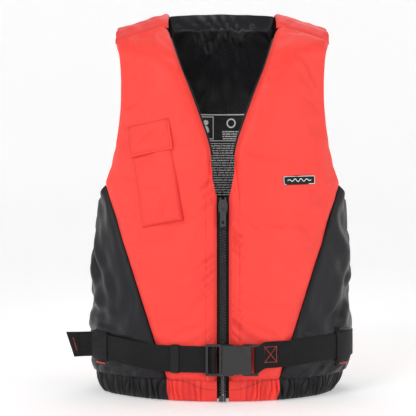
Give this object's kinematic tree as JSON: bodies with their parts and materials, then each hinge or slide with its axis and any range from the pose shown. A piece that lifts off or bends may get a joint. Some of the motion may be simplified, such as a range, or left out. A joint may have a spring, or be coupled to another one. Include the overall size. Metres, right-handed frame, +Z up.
{
  "type": "life jacket",
  "caption": "Waistcoat buoyancy vest: foam panels in a fabric shell, front zip, elastic hem, flapped chest pocket and a waist belt with a side-release buckle.",
  "frame": {"origin": "centre of the hem opening, on the plane the hem rests on", "axes": "+Z up from hem to shoulders, -Y out of the zipped front, +X to the wearer's left"},
  "size_m": [0.4787, 0.3081, 0.628],
  "materials": {
    "red_nylon": "satin woven nylon, light sheen",
    "red_yoke": "satin woven nylon, slightly paler",
    "black_side": "matt black coated nylon",
    "black_lining": "satin black polyester lining",
    "foam": "closed-cell polyethylene buoyancy foam, matt",
    "elastic": "knitted elastic",
    "zip_tape": "black woven zip tape",
    "zip_plastic": "moulded black acetal, slight gloss",
    "webbing": "black woven polypropylene webbing",
    "buckle_plastic": "dark grey moulded acetal, fine grain",
    "binding": "black folded binding tape",
    "hook_loop": "black hook and loop tape",
    "patch": "woven patch, black with a pale border",
    "label": "printed label tape, black with pale bars"
  },
  "bodies": {
    "vest": {"armhole_binding_left": "binding", "armhole_binding_right": "binding", "back_foam_inner": "foam", "back_foam_outer": "foam", "back_label": "label", "back_lining": "black_lining", "back_shell": "red_nylon", "belt_loop_left": "webbing", "belt_loop_right": "webbing", "belt_webbing": "webbing", "buckle_female": "buckle_plastic", "chest_patch": "patch", "front_foam_inner_left": "foam", "front_foam_inner_right": "foam", "front_foam_outer_left": "foam", "front_foam_outer_right": "foam", "front_lining_left": "black_lining", "front_lining_right": "black_lining", "front_shell_left": "red_nylon", "front_shell_right": "red_nylon", "hem_back": "black_side", "hem_elastic": "elastic", "hem_front_left": "red_nylon", "hem_front_right": "red_nylon", "hem_side_left": "black_side", "hem_side_right": "black_side", "neck_binding_left": "binding", "neck_binding_right": "binding", "placket_left": "red_nylon", "placket_right": "red_nylon", "pocket_body": "red_nylon", "pocket_loop_tape": "hook_loop", "shoulder_lining_left": "black_lining", "shoulder_lining_right": "black_lining", "shoulder_yoke_left": "red_yoke", "shoulder_yoke_right": "red_yoke", "side_lining_left": "black_lining", "side_lining_right": "black_lining", "side_panel_left": "black_side", "side_panel_right": "black_side", "zip_box": "zip_plastic", "zip_pin": "zip_plastic", "zip_tape_left": "zip_tape", "zip_tape_right": "zip_tape", "zip_teeth_left": "zip_plastic", "zip_teeth_right": "zip_plastic", "zip_top_stops": "zip_plastic"},
    "slider": {"zip_slider": "zip_plastic"},
    "pull_tab": {"zip_pull": "zip_plastic"},
    "male_buckle": {"buckle_male": "buckle_plastic", "belt_front_run": "webbing"},
    "upper_prong": {"buckle_prong_upper": "buckle_plastic"},
    "lower_prong": {"buckle_prong_lower": "buckle_plastic"},
    "flap": {"pocket_flap": "red_nylon", "pocket_hook_tape": "hook_loop"},
    "keeper": {"belt_keeper": "webbing"},
    "loose_tail": {"belt_tail_end": "webbing"}
  },
  "joints": [
    {"name": "zip_slide", "type": "slide", "parent": "vest", "child": "slider", "axis": [0, 0, -1], "range_m": [0, 0.268], "deforming": ["zip_teeth_left", "zip_teeth_right", "zip_tape_left", "zip_tape_right"]},
    {"name": "zip_pull_swing", "type": "hinge", "parent": "slider", "child": "pull_tab", "pos_m": [0, -0.1413, 0.3011], "axis": [-1, 0, 0], "range_deg": [0, 175]},
    {"name": "buckle_release", "type": "slide", "parent": "vest", "child": "male_buckle", "axis": [-1, 0, 0], "range_m": [0, 0.032], "deforming": ["belt_front_run"]},
    {"name": "prong_squeeze_upper", "type": "hinge", "parent": "male_buckle", "child": "upper_prong", "pos_m": [-0.002, -0.153, 0.085], "axis": [0, 1, 0], "range_deg": [0, 7], "stiffness_Nm_per_rad": 0.3, "deforming": ["buckle_prong_upper"]},
    {"name": "prong_squeeze_lower", "type": "hinge", "parent": "male_buckle", "child": "lower_prong", "pos_m": [-0.002, -0.153, 0.051], "axis": [0, 1, 0], "range_deg": [-7, 0], "stiffness_Nm_per_rad": 0.3, "deforming": ["buckle_prong_lower"]},
    {"name": "pocket_flap_lift", "type": "hinge", "parent": "vest", "child": "flap", "pos_m": [-0.11522, -0.12006, 0.4292], "axis": [0.9133, -0.3708, 0.1685], "range_deg": [-150, 0]},
    {"name": "belt_keeper_slide", "type": "hinge", "parent": "vest", "child": "keeper", "pos_m": [0, 0.11688, 0.068], "axis": [0, 0, -1], "range_deg": [0, 6.5]},
    {"name": "belt_tail_swing", "type": "hinge", "parent": "vest", "child": "loose_tail", "pos_m": [-0.21072, -0.03691, 0.078], "axis": [0, 0, 1], "range_deg": [-40, 25]}
  ],
  "couplings": [
    {"joint": "prong_squeeze_lower", "follows": "prong_squeeze_upper", "ratio": -1}
  ]
}
